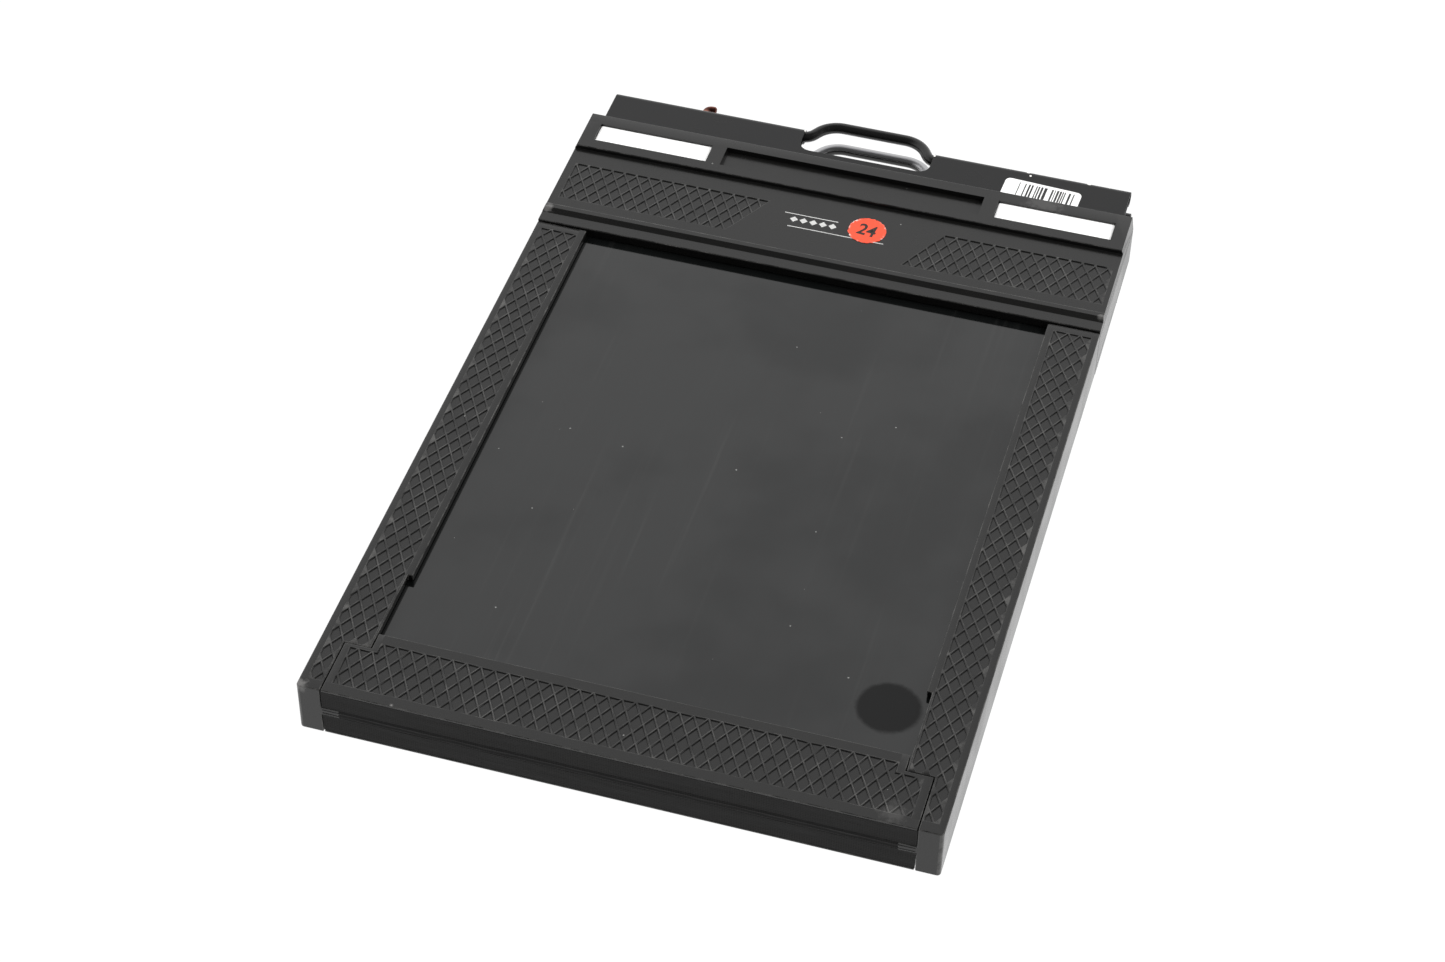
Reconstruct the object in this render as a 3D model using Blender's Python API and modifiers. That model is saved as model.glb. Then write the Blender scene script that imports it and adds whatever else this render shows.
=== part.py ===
"""Double-sided holder for 4 x 5 inch sheet film, in metres, +Z up.

The holder lies on its rear face with the loading flaps towards -Y and the slide handles towards +Y.
Shapes are written in millimetres from one working point: the middle of the near end, on the mid-plane
between the two film sheets. The rear half is the front half turned half a turn about the long axis,
so every paired piece is made once for each half by the same function.
"""
import math

import bmesh
import bpy
from mathutils import Matrix, Vector

MM = 0.001

# Overall size
WIDTH = 120.65
LENGTH = 192.4
HALF_WIDTH = WIDTH / 2
GAP = 0.2

# Levels, measured outwards from the mid-plane
SEPTUM_LEVEL = 0.65
FLAP_FLOOR = 0.95
FILM_GROOVE = 1.35
SLOT_FLOOR = 3.0
SHEET_BOTTOM = 3.2
SHEET_TOP = 3.95
SLOT_ROOF = 4.15
RAIL_FACE = 5.65
STRIP_LEVEL = 6.0
SHOULDER_LEVEL = 6.6
RIB_LEVEL = 6.65
BAR_LEVEL = 7.55

# Rails: distances inwards from the side face
RAIL_LIP = 10.8
RAIL_RELIEF = 9.8
GROOVE_DEPTH = 7.8
FILM_GUIDE = 12.8
SEPTUM_SEAT = 8.0
EAR_WIDTH = 4.6
EAR_LENGTH = 12.45
RELIEF_END = 32.0
RAIL_LENGTH = 137.2

# End block
BLOCK_START = 137.4
BLOCK_END = 173.5
STRIP_END = 140.6
RIB_FRONT = 141.2
RIB_BACK = 142.6
BAR_START = 161.9
BAR_FOOT = 0.6
BAR_INSET = 0.5
POCKET_DEPTH = 0.8
WRITE_ON_X = 44.225
WRITE_ON_SIZE = (25.2, 5.7)
WRITE_ON_Y = 167.55
CENTRE_POCKET_SIZE = (56.85, 6.1)
TRAP_START = 146.0
TRAP_END = 152.0
TRAP_FLOOR = 1.4
TRAP_HALF_WIDTH = 52.0
PILE_BOTTOM = 2.0

# Dark slides
SHEET_WIDTH = 104.5
SHEET_START = 12.3
SHEET_END = 182.9
HEM_WIDTH = 115.7
HEM_SHIFT = -0.3
HEM_START = 173.8
HEM_LEVEL = 4.5
HEM_INNER_LEVEL = 2.7
HEM_METAL = 0.3
ROLL_Y = 184.7
ROLL_RADIUS = 1.6
NOTCH_WIDTH = 28.9
NOTCH_START = 178.6
NOTCH_CORNER = 2.5

# Wires
BAIL_RADIUS = 1.2
BAIL_TOP_Y = 190.15
BAIL_TOP_HALF = 10.3
BAIL_KNEE_HALF = 13.6
BAIL_FOOT_HALF = 20.5
BAIL_KNEE_BEND = 3.0
BAIL_TOP_BEND = 6.0
LATCH_RADIUS = 0.8
LATCH_X = -39.0
LATCH_START = 160.5
LATCH_END = 191.6
LATCH_LEG = 2.1
LATCH_BEND = 1.2
LATCH_PUSHED_IN = {"left": 0.0, "right": 2.3}
LATCH_BORE_RADIUS = 1.1
LATCH_BORE_START = 157.2

# Loading flaps and their cloth hinge
FLAP_START = 0.45
FLAP_BODY_END = 11.9
FLAP_LIP_END = 16.25
FLAP_LIP_FLOOR = 4.25
FLAP_LIP_HALF = 50.3
FLAP_HALF = HALF_WIDTH - EAR_WIDTH - GAP
HINGE_Y = 0.1
HINGE_LEVEL = 0.8
TAPE_THICKNESS = 0.25

# Stickers
DOT_RADIUS = 4.1
DOT_CENTRE = (7.1, 153.5)
LABEL_SIZE = (16.8, 7.8)
LABEL_CENTRE = (39.1, 178.0)
LABEL_TURN = math.radians(-3)
STICKER = 0.15
STICKER_GAP = 0.05

PARTS = "sheet_film_holder"
TOOLS = "cutting_tools"


def clear_scene():
    """Remove whatever the scene holds."""
    for obj in list(bpy.data.objects):
        bpy.data.objects.remove(obj, do_unlink=True)


def collection(name):
    """The scene's collection of that name, made if it is missing."""
    found = bpy.data.collections.get(name)
    if found is None:
        found = bpy.data.collections.new(name)
        bpy.context.scene.collection.children.link(found)
    return found


def material(name, color, roughness, metallic=0.0):
    """A Principled material with a plain colour."""
    found = bpy.data.materials.get(name)
    if found is None:
        found = bpy.data.materials.new(name)
        found.use_nodes = True
        shader = found.node_tree.nodes["Principled BSDF"]
        shader.inputs["Base Color"].default_value = (*color, 1.0)
        shader.inputs["Roughness"].default_value = roughness
        shader.inputs["Metallic"].default_value = metallic
    return found


def metres(point):
    """A point in millimetres as a vector in metres."""
    return Vector(point) * MM


def empty(name, location, parent=None):
    """An empty at a place in millimetres."""
    obj = bpy.data.objects.new(name, None)
    obj.empty_display_size = 0.01
    obj.location = metres(location)
    obj.parent = parent
    collection(PARTS).objects.link(obj)
    return obj


def add(name, bm, half, finish, pivot=None):
    """Make an object from a bmesh that is drawn in millimetres from the working point.

    half is the empty that the piece belongs to. A moving piece hangs on its own empty: pivot is the
    place of that empty, and the object's origin is put there.
    """
    bmesh.ops.recalc_face_normals(bm, faces=bm.faces)
    origin = Vector(pivot or (0, 0, 0))
    bmesh.ops.transform(bm, matrix=Matrix.Scale(MM, 4) @ Matrix.Translation(-origin), verts=bm.verts)
    mesh = bpy.data.meshes.new(name)
    bm.to_mesh(mesh)
    bm.free()
    obj = bpy.data.objects.new(name, mesh)
    obj.parent = half
    if finish is not None:
        mesh.materials.append(finish)
        collection(PARTS).objects.link(obj)
    return obj


def block(low, high, corner=0.0, turn=0.0):
    """A box between two corners, in millimetres, as a bmesh. corner rounds its upright edges."""
    bm = bmesh.new()
    bmesh.ops.create_cube(bm, size=1.0)
    size = Vector(high) - Vector(low)
    bmesh.ops.scale(bm, vec=size, verts=bm.verts)
    if corner:
        upright = [e for e in bm.edges if abs(e.verts[0].co.z - e.verts[1].co.z) > size.z / 2]
        bmesh.ops.bevel(bm, geom=upright, offset=corner, segments=4, profile=0.5, affect="EDGES")
    centre = (Vector(high) + Vector(low)) / 2
    place = Matrix.Translation(centre) @ Matrix.Rotation(turn, 4, "Z")
    bmesh.ops.transform(bm, matrix=place, verts=bm.verts)
    return bm


def rod(radius, start, end, sides=16):
    """A straight cylinder between two points, in millimetres, as a bmesh."""
    bm = bmesh.new()
    axis = Vector(end) - Vector(start)
    bmesh.ops.create_cone(
        bm, cap_ends=True, segments=sides, radius1=radius, radius2=radius, depth=axis.length
    )
    turn = axis.to_track_quat("Z", "Y").to_matrix().to_4x4()
    middle = (Vector(start) + Vector(end)) / 2
    bmesh.ops.transform(bm, matrix=Matrix.Translation(middle) @ turn, verts=bm.verts)
    return bm


def curve_mesh(curve):
    """The solid that a curve describes, with its caps welded on, as a bmesh."""
    obj = bpy.data.objects.new("outline", curve)
    bpy.context.scene.collection.objects.link(obj)
    bpy.context.view_layer.update()
    shape = obj.evaluated_get(bpy.context.evaluated_depsgraph_get())
    mesh = bpy.data.meshes.new_from_object(shape)
    bm = bmesh.new()
    bm.from_mesh(mesh)
    bmesh.ops.remove_doubles(bm, verts=bm.verts, dist=0.001)
    bpy.data.objects.remove(obj)
    bpy.data.curves.remove(curve)
    bpy.data.meshes.remove(mesh)
    return bm


def outline(points, half_depth):
    """A flat outline given as (x, y) points and extruded to both sides, as a bmesh."""
    curve = bpy.data.curves.new("outline", "CURVE")
    curve.dimensions = "2D"
    curve.fill_mode = "BOTH"
    curve.extrude = half_depth
    spline = curve.splines.new("POLY")
    spline.points.add(len(points) - 1)
    for knot, (x, y) in zip(spline.points, points):
        knot.co = (x, y, 0, 1)
    spline.use_cyclic_u = True
    return curve_mesh(curve)


def across(points, half_width):
    """A section given as (y, level) points, extruded along X to both sides of the middle."""
    bm = outline(points, half_width)
    turn = Matrix(((0, 0, 1, 0), (1, 0, 0, 0), (0, 1, 0, 0), (0, 0, 0, 1)))
    bmesh.ops.transform(bm, matrix=turn, verts=bm.verts)
    return bm


def along(points, start, end):
    """A section given as (x, level) points, extruded along Y from start to end."""
    bm = outline(points, (end - start) / 2)
    turn = Matrix(((1, 0, 0, 0), (0, 0, -1, (start + end) / 2), (0, 1, 0, 0), (0, 0, 0, 1)))
    bmesh.ops.transform(bm, matrix=turn, verts=bm.verts)
    return bm


def wire(points, radius):
    """A round wire along a list of points, with closed ends, as a bmesh."""
    curve = bpy.data.curves.new("wire", "CURVE")
    curve.dimensions = "3D"
    curve.bevel_depth = radius
    curve.bevel_resolution = 2
    curve.use_fill_caps = True
    spline = curve.splines.new("POLY")
    spline.points.add(len(points) - 1)
    for knot, point in zip(spline.points, points):
        knot.co = (*point, 1)
    return curve_mesh(curve)


def rounded_path(corners, radii, steps=5):
    """The corners of a bent wire with each inner corner replaced by an arc of its own radius."""
    path = [Vector(corners[0])]
    for before, corner, after, radius in zip(corners, corners[1:], corners[2:], radii):
        corner = Vector(corner)
        back = (Vector(before) - corner).normalized()
        on = (Vector(after) - corner).normalized()
        half_angle = back.angle(on) / 2
        reach = radius / math.tan(half_angle)
        centre = corner + (back + on).normalized() * (radius / math.sin(half_angle))
        first = (corner + back * reach - centre).normalized()
        last = (corner + on * reach - centre).normalized()
        for step in range(steps + 1):
            path.append(centre + first.slerp(last, step / steps) * radius)
    path.append(Vector(corners[-1]))
    return path


def bent_strip(profile, half_width, shift=0.0):
    """An open strip that follows (y, level) points, as wide as twice half_width, as a bmesh."""
    bm = bmesh.new()
    rail = [bm.verts.new((shift - half_width, y, level)) for y, level in profile]
    edges = [bm.edges.new(pair) for pair in zip(rail, rail[1:])]
    wide = bmesh.ops.extrude_edge_only(bm, edges=edges)["geom"]
    moved = [v for v in wide if isinstance(v, bmesh.types.BMVert)]
    bmesh.ops.translate(bm, vec=(2 * half_width, 0, 0), verts=moved)
    return bm


def thicken(obj, thickness):
    """Give an open strip its thickness on the inner side, all in millimetres."""
    wall = obj.modifiers.new("metal", "SOLIDIFY")
    wall.thickness = thickness * MM
    wall.offset = -1.0
    wall.use_even_offset = True


def cut(obj, name, bm, half):
    """Cut a shape out of a piece with an exact Boolean."""
    tool = add(name, bm, half, None)
    tool.display_type = "WIRE"
    tool.hide_render = True
    collection(TOOLS).objects.link(tool)
    boolean = obj.modifiers.new(name, "BOOLEAN")
    boolean.operation = "DIFFERENCE"
    boolean.solver = "EXACT"
    boolean.object = tool


def make_rail(side, half, finish):
    """One side rail. Its section is the same front and rear, with a lip, a groove and a film guide."""
    upper = [
        (0.0, RAIL_FACE),
        (RAIL_LIP, RAIL_FACE),
        (RAIL_LIP, SLOT_ROOF),
        (GROOVE_DEPTH, SLOT_ROOF),
        (GROOVE_DEPTH, SLOT_FLOOR),
        (FILM_GUIDE, SLOT_FLOOR),
        (FILM_GUIDE, FILM_GROOVE),
        (SEPTUM_SEAT, FILM_GROOVE),
    ]
    section = upper + [(x, -level) for x, level in reversed(upper)]
    section = [(x - HALF_WIDTH, level) for x, level in section]
    rail = add(f"rail_{side}", along(section, 0.0, RAIL_LENGTH), half, finish)
    inner = FILM_GUIDE - HALF_WIDTH + 1
    for face in (1, -1):
        floor, roof = sorted((face * SLOT_ROOF, face * (RAIL_FACE + 1)))
        relief = block((RAIL_RELIEF - HALF_WIDTH, -1, floor), (inner, RELIEF_END, roof))
        cut(rail, f"relief_{side}_{face}", relief, half)
        floor, roof = sorted((face * FLAP_FLOOR, face * (RAIL_FACE + 1)))
        ear = block((EAR_WIDTH - HALF_WIDTH, -1, floor), (inner, EAR_LENGTH, roof))
        cut(rail, f"ear_{side}_{face}", ear, half)


def make_septum(holder, finish):
    """The thin sheet between the two films."""
    reach = HALF_WIDTH - SEPTUM_SEAT - GAP
    low = (-reach, FLAP_START, -SEPTUM_LEVEL)
    high = (reach, RAIL_LENGTH - GAP, SEPTUM_LEVEL)
    add("septum", block(low, high), holder, finish)


def make_end_core(holder, finish):
    """The block between the two covers, with a trough for each light trap and a bore for each latch."""
    shelf = HALF_WIDTH - GROOVE_DEPTH
    top = SLOT_ROOF - GAP
    upper = [(-HALF_WIDTH, top), (-shelf, top), (-shelf, SLOT_FLOOR)]
    upper += [(-x, level) for x, level in reversed(upper)]
    section = upper + [(x, -level) for x, level in reversed(upper)]
    core = add("end_core", along(section, BLOCK_START, BLOCK_END), holder, finish)
    for face in (1, -1):
        floor, roof = sorted((face * TRAP_FLOOR, face * (SLOT_FLOOR + 1)))
        trough = block((-TRAP_HALF_WIDTH, TRAP_START, floor), (TRAP_HALF_WIDTH, TRAP_END, roof))
        cut(core, f"trough_{face}", trough, holder)
        bore = rod(
            LATCH_BORE_RADIUS, (face * LATCH_X, LATCH_BORE_START, 0), (face * LATCH_X, BLOCK_END + 1, 0)
        )
        cut(core, f"latch_bore_{face}", bore, holder)


def make_end_cover(side, half, finish):
    """The moulded cover of the end block: strip, lock rib, shoulder and grip bar with its pockets."""
    section = [
        (BLOCK_START, SLOT_ROOF),
        (BLOCK_START, STRIP_LEVEL),
        (RIB_FRONT, STRIP_LEVEL),
        (RIB_FRONT, RIB_LEVEL),
        (RIB_BACK, RIB_LEVEL),
        (RIB_BACK, SHOULDER_LEVEL),
        (BAR_START - BAR_FOOT, SHOULDER_LEVEL),
        (BAR_START, BAR_LEVEL),
        (BLOCK_END, BAR_LEVEL),
        (BLOCK_END, SLOT_ROOF),
    ]
    cover = add(f"end_cover_{side}", across(section, HALF_WIDTH), half, finish)
    for end in (-1, 1):
        low, high = sorted((end * (HALF_WIDTH - BAR_INSET), end * (HALF_WIDTH + 1)))
        corner = block((low, BAR_START - BAR_FOOT - 1, SHOULDER_LEVEL), (high, BLOCK_END + 1, BAR_LEVEL + 1))
        cut(cover, f"bar_end_{side}_{end}", corner, half)
        pocket_cut(cover, f"write_on_pocket_{side}_{end}", end * WRITE_ON_X, WRITE_ON_SIZE, half)
    pocket_cut(cover, f"centre_pocket_{side}", 0.0, CENTRE_POCKET_SIZE, half)


def pocket_cut(cover, name, x, size, half):
    """A shallow pocket in the top of the grip bar."""
    low = (x - size[0] / 2, WRITE_ON_Y - size[1] / 2, BAR_LEVEL - POCKET_DEPTH)
    high = (x + size[0] / 2, WRITE_ON_Y + size[1] / 2, BAR_LEVEL + 1)
    cut(cover, name, block(low, high), half)


def make_write_on_strips(side, half, finish):
    """The two white strips glued into the grip bar's outer pockets."""
    for end, place in ((-1, "left"), (1, "right")):
        x, width, depth = end * WRITE_ON_X, WRITE_ON_SIZE[0] - 2 * GAP, WRITE_ON_SIZE[1] - 2 * GAP
        floor = BAR_LEVEL - POCKET_DEPTH + STICKER_GAP
        low = (x - width / 2, WRITE_ON_Y - depth / 2, floor)
        high = (x + width / 2, WRITE_ON_Y + depth / 2, floor + 0.4)
        add(f"write_on_strip_{side}_{place}", block(low, high, corner=0.5), half, finish)


def make_light_trap(side, half, pile_finish, spring_finish):
    """The velvet pad that brushes the slide, and the bowed leaf spring under it."""
    reach = TRAP_HALF_WIDTH - GAP
    low = (-reach, TRAP_START + GAP, PILE_BOTTOM)
    high = (reach, TRAP_END - GAP, SLOT_FLOOR)
    add(f"trap_pile_{side}", block(low, high), half, pile_finish)
    middle = (TRAP_START + TRAP_END) / 2
    reach_y = (TRAP_END - TRAP_START) / 2 - GAP
    leaf_low, leaf_rise, leaf_metal = TRAP_FLOOR + 0.2, 0.2, 0.12
    profile = []
    for step in range(9):
        share = step / 4 - 1
        profile.append((middle + share * reach_y, leaf_low + leaf_rise * (1 - share * share)))
    spring = add(f"trap_spring_{side}", bent_strip(profile, reach), half, spring_finish)
    thicken(spring, leaf_metal)


def notch_tool(clearance):
    """The cutter of the finger notch in the hem and the sheet."""
    reach = NOTCH_WIDTH / 2 + clearance
    low = (HEM_SHIFT - reach, NOTCH_START - clearance, -1)
    high = (HEM_SHIFT + reach, BAIL_TOP_Y + NOTCH_CORNER, HEM_LEVEL + 2)
    return block(low, high, corner=NOTCH_CORNER)


def hem_profile():
    """The hem's outer skin as (y, level) points: out, round the wire roll and back inside."""
    centre_level = HEM_LEVEL - ROLL_RADIUS
    start = math.radians(90)
    end = math.radians(-180) - math.asin((HEM_INNER_LEVEL - centre_level) / ROLL_RADIUS)
    turns = 18
    points = [(HEM_START, HEM_LEVEL)]
    for step in range(turns + 1):
        angle = start + (end - start) * step / turns
        points.append((ROLL_Y + ROLL_RADIUS * math.cos(angle), centre_level + ROLL_RADIUS * math.sin(angle)))
    points.append((HEM_START, HEM_INNER_LEVEL))
    return points


def make_slide(side, half, sheet_finish, hem_finish, wire_finish):
    """A dark slide: sheet, folded hem and wire bail."""
    low = (-SHEET_WIDTH / 2, SHEET_START, SHEET_BOTTOM)
    high = (SHEET_WIDTH / 2, SHEET_END, SHEET_TOP)
    sheet = add(f"slide_{side}_sheet", block(low, high), half, sheet_finish)
    cut(sheet, f"sheet_notch_{side}", notch_tool(GAP), half)
    hem = add(f"slide_{side}_hem", bent_strip(hem_profile(), HEM_WIDTH / 2, HEM_SHIFT), half, hem_finish)
    thicken(hem, HEM_METAL)
    cut(hem, f"hem_notch_{side}", notch_tool(0.0), half)
    level = HEM_LEVEL - ROLL_RADIUS
    right = [
        (BAIL_TOP_HALF, BAIL_TOP_Y, level),
        (BAIL_KNEE_HALF, ROLL_Y, level),
        (BAIL_FOOT_HALF, ROLL_Y, level),
    ]
    corners = [(HEM_SHIFT - x, y, z) for x, y, z in reversed(right)]
    corners += [(HEM_SHIFT + x, y, z) for x, y, z in right]
    radii = (BAIL_KNEE_BEND, BAIL_TOP_BEND, BAIL_TOP_BEND, BAIL_KNEE_BEND)
    add(f"slide_{side}_bail", wire(rounded_path(corners, radii), BAIL_RADIUS), half, wire_finish)


def make_flap(side, half, finish, cloth):
    """A loading flap and the cloth tape on its end, both hung on the hinge line."""
    pivot = (0, HINGE_Y, HINGE_LEVEL)
    hinge = empty(f"hinge_{side}", pivot, half)
    section = [
        (FLAP_START, FLAP_FLOOR),
        (FLAP_START, RAIL_FACE),
        (FLAP_LIP_END, RAIL_FACE),
        (FLAP_LIP_END, FLAP_LIP_FLOOR),
        (FLAP_BODY_END, FLAP_LIP_FLOOR),
        (FLAP_BODY_END, FLAP_FLOOR),
    ]
    flap = add(f"flap_{side}", across(section, FLAP_HALF), hinge, finish, pivot)
    for end in (-1, 1):
        low, high = sorted((end * FLAP_LIP_HALF, end * (FLAP_HALF + 1)))
        corner = block((low, EAR_LENGTH, FLAP_FLOOR), (high, FLAP_LIP_END + 1, RAIL_FACE + 1))
        cut(flap, f"flap_corner_{side}_{end}", corner, half)
    low = (-FLAP_HALF, HINGE_Y, HINGE_LEVEL + GAP)
    high = (FLAP_HALF, HINGE_Y + TAPE_THICKNESS, RAIL_FACE - 0.5)
    add(f"hinge_tape_{side}", block(low, high), hinge, cloth, pivot)


def make_hinge_spine(holder, cloth):
    """The stretch of hinge cloth that is glued to the septum's end."""
    reach = HALF_WIDTH - SEPTUM_SEAT - GAP
    low = (-reach, HINGE_Y, GAP - HINGE_LEVEL)
    high = (reach, HINGE_Y + TAPE_THICKNESS, HINGE_LEVEL - GAP)
    add("hinge_tape_spine", block(low, high), holder, cloth)


def make_latch(side, half, finish):
    """A bent wire that turns in its bore and blocks a slide's hem when its leg stands up."""
    start, end = LATCH_START - LATCH_PUSHED_IN[side], LATCH_END - LATCH_PUSHED_IN[side]
    corners = [(LATCH_X, start, 0), (LATCH_X, end, 0), (LATCH_X + LATCH_LEG, end, 0)]
    pivot = (LATCH_X, BLOCK_END, 0)
    swivel = empty(f"latch_axis_{side}", pivot, half)
    path = rounded_path(corners, (LATCH_BEND,))
    add(f"latch_{side}", wire(path, LATCH_RADIUS), swivel, finish, pivot)


def make_stickers(half, dot_finish, label_finish):
    """The round number dot on the shoulder and the paper label on the front hem."""
    floor = SHOULDER_LEVEL + STICKER_GAP
    dot = rod(DOT_RADIUS, (*DOT_CENTRE, floor), (*DOT_CENTRE, floor + STICKER), sides=32)
    add("number_dot", dot, half, dot_finish)
    x, y = LABEL_CENTRE
    floor = HEM_LEVEL + STICKER_GAP
    low = (x - LABEL_SIZE[0] / 2, y - LABEL_SIZE[1] / 2, floor)
    high = (x + LABEL_SIZE[0] / 2, y + LABEL_SIZE[1] / 2, floor + STICKER)
    add("paper_label", block(low, high, corner=1.2, turn=LABEL_TURN), half, label_finish)


def build():
    """Make the whole holder."""
    clear_scene()
    plastic = material("moulded_plastic", (0.045, 0.045, 0.047), 0.45)
    sheet = material("slide_sheet", (0.055, 0.058, 0.058), 0.3)
    enamel = material("black_enamel", (0.035, 0.035, 0.036), 0.35, 0.3)
    bright = material("bright_wire", (0.45, 0.45, 0.46), 0.3, 0.9)
    cloth = material("hinge_cloth", (0.02, 0.02, 0.02), 0.85)
    pile = material("velvet_pile", (0.01, 0.01, 0.01), 1.0)
    spring = material("spring_bronze", (0.55, 0.33, 0.16), 0.35, 1.0)
    septum = material("septum_metal", (0.1, 0.1, 0.105), 0.5, 0.6)
    copper = material("latch_wire", (0.42, 0.18, 0.12), 0.4, 0.9)
    white = material("write_on_white", (0.9, 0.9, 0.9), 0.7)
    orange = material("number_dot", (0.84, 0.1, 0.05), 0.6)

    holder = empty("holder", (0, -LENGTH / 2, BAR_LEVEL))
    front_half = empty("front_half", (0, 0, 0), holder)
    rear_half = empty("rear_half", (0, 0, 0), holder)
    rear_half.rotation_euler = (0, math.pi, 0)

    make_septum(holder, septum)
    make_end_core(holder, plastic)
    make_hinge_spine(holder, cloth)
    for half, side, hand in ((front_half, "front", "left"), (rear_half, "rear", "right")):
        make_rail(hand, half, plastic)
        make_latch(hand, half, copper)
        make_end_cover(side, half, plastic)
        make_write_on_strips(side, half, white)
        make_light_trap(side, half, pile, spring)
        make_slide(side, half, sheet, enamel, bright)
        make_flap(side, half, plastic, cloth)
    make_stickers(front_half, orange, white)


build()
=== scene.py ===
"""Looks for a double-sided sheet-film holder: moulded frame, dark slides, flaps, latches and studio."""

import math

import bmesh
import bpy
from bpy.props import FloatProperty, FloatVectorProperty, PointerProperty, StringProperty
from mathutils import Matrix, Vector, noise


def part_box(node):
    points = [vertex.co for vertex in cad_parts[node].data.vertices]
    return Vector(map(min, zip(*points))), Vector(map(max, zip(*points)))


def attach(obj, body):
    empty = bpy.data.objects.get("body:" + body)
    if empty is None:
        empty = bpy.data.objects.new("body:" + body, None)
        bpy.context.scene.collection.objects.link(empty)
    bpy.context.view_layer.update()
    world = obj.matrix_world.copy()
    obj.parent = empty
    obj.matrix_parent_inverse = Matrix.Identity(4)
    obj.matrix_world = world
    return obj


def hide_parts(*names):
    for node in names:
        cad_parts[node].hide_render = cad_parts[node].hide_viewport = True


bl_info = {
    "name": "Sheet-film holder",
    "version": (1, 0, 0),
    "blender": (4, 5, 0),
    "location": "View3D > Sidebar > Film holder",
    "description": "Builds the finished surfaces of a double-sided sheet-film holder on its frame",
    "category": "Add Mesh",
}

MM = 0.001
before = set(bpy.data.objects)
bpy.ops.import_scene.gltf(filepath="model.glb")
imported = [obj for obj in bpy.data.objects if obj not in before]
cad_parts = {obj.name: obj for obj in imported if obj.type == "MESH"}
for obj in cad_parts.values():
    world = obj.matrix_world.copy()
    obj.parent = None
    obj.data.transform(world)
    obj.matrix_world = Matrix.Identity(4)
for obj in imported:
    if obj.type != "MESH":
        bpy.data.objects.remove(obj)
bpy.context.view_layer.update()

# The working point is the middle of the near end, on the mid-plane. Sizes below are in millimetres from it.
RAIL_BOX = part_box("rail_left")
SEPTUM_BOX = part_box("septum")
WORKING_POINT = Vector((0, RAIL_BOX[0].y, (SEPTUM_BOX[0].z + SEPTUM_BOX[1].z) / 2))
FRONT = Matrix.Translation(WORKING_POINT) @ Matrix.Scale(MM, 4)
HALF_TURN = Matrix.Rotation(math.pi, 4, "Y")
REAR = FRONT @ HALF_TURN
HALVES = {"front": FRONT, "rear": REAR}


def in_half(node, half=FRONT):
    """A node's lowest and highest corners in millimetres from the working point."""
    back = half.inverted()
    corners = [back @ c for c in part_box(node)]
    return Vector(map(min, *corners)), Vector(map(max, *corners))


RAIL_LOW, RAIL_HIGH = in_half("rail_left")
HALF_WIDTH = -RAIL_LOW.x
RAIL_FACE = RAIL_HIGH.z
COVER_LOW, COVER_HIGH = in_half("end_cover_front")
BLOCK_START, BLOCK_END, BAR_LEVEL = COVER_LOW.y, COVER_HIGH.y, COVER_HIGH.z
SLOT_ROOF = COVER_LOW.z
HEM_HIGH = in_half("slide_front_hem")[1]
BAIL_LOW, BAIL_HIGH = in_half("slide_front_bail")
DOT_LOW, DOT_HIGH = in_half("number_dot")
LABEL_LOW, LABEL_HIGH = in_half("paper_label")

STRIP_LEVEL = RAIL_FACE + 0.35
RIB_LEVEL = RAIL_FACE + 1.0
SHOULDER_LEVEL = RAIL_FACE + 0.93
RIB_TOP, RIB_END = BLOCK_START + 3.8, BLOCK_START + 5.1
BAR_START = BLOCK_END - 11.6
SHOULDER_INSET, BAR_INSET = 0.2, 0.5
POCKET_DEPTH = 0.8
WRITE_ON_X, WRITE_ON_Y = 44.225, BLOCK_END - 5.95
WRITE_ON_SIZE = (25.2, 5.7)
CENTRE_POCKET_SIZE = (56.85, 6.1)
CENTRE_POCKET_DEPTH = 1.2


# ---------------------------------------------------------------------------------------------
# Settings


class FilmHolderSettings(bpy.types.PropertyGroup):
    """Sizes and colours of the film holder that a user may change."""

    lattice_pitch: FloatProperty(
        name="Lattice pitch", description="Width of one diamond in millimetres", default=2.7, min=1.0
    )
    lattice_depth: FloatProperty(
        name="Lattice depth", description="Depth of the diamonds in millimetres", default=0.24, min=0.0
    )
    lattice_crest: FloatProperty(
        name="Lattice crest", description="Half width of the flat crests in millimetres", default=0.07
    )
    edge_round: FloatProperty(
        name="Edge rounding", description="Radius of the moulded edges in millimetres", default=0.22
    )
    plastic: FloatVectorProperty(
        name="Moulded plastic", description="Colour of the frame and flaps", subtype="COLOR",
        size=3, default=(0.0055, 0.0054, 0.0052),
    )
    slide: FloatVectorProperty(
        name="Dark slide", description="Colour of the slide sheets", subtype="COLOR",
        size=3, default=(0.0032, 0.0036, 0.0036),
    )
    dot: FloatVectorProperty(
        name="Number dot", description="Colour of the round sticker", subtype="COLOR",
        size=3, default=(0.82, 0.085, 0.04),
    )
    number: StringProperty(name="Number", description="Plain number printed on the dot", default="24")


class FilmHolderStage(bpy.types.PropertyGroup):
    """Camera, floor and light."""

    camera_place: FloatVectorProperty(
        name="Camera place", description="Where the camera stands", subtype="TRANSLATION",
        unit="LENGTH", size=3, default=(0.1156, -0.4455, 0.4421),
    )
    camera_turn: FloatVectorProperty(
        name="Camera turn", description="How the camera is turned", subtype="EULER", size=3,
        default=tuple(math.radians(a) for a in (45.6285, -0.8232, 16.2485)),
    )
    lens: FloatProperty(name="Lens", description="Focal length in millimetres", default=79.02)
    surround: FloatProperty(name="Surround", description="Brightness of the white surround", default=1.0)


# ---------------------------------------------------------------------------------------------
# Shader node helpers and groups


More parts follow.
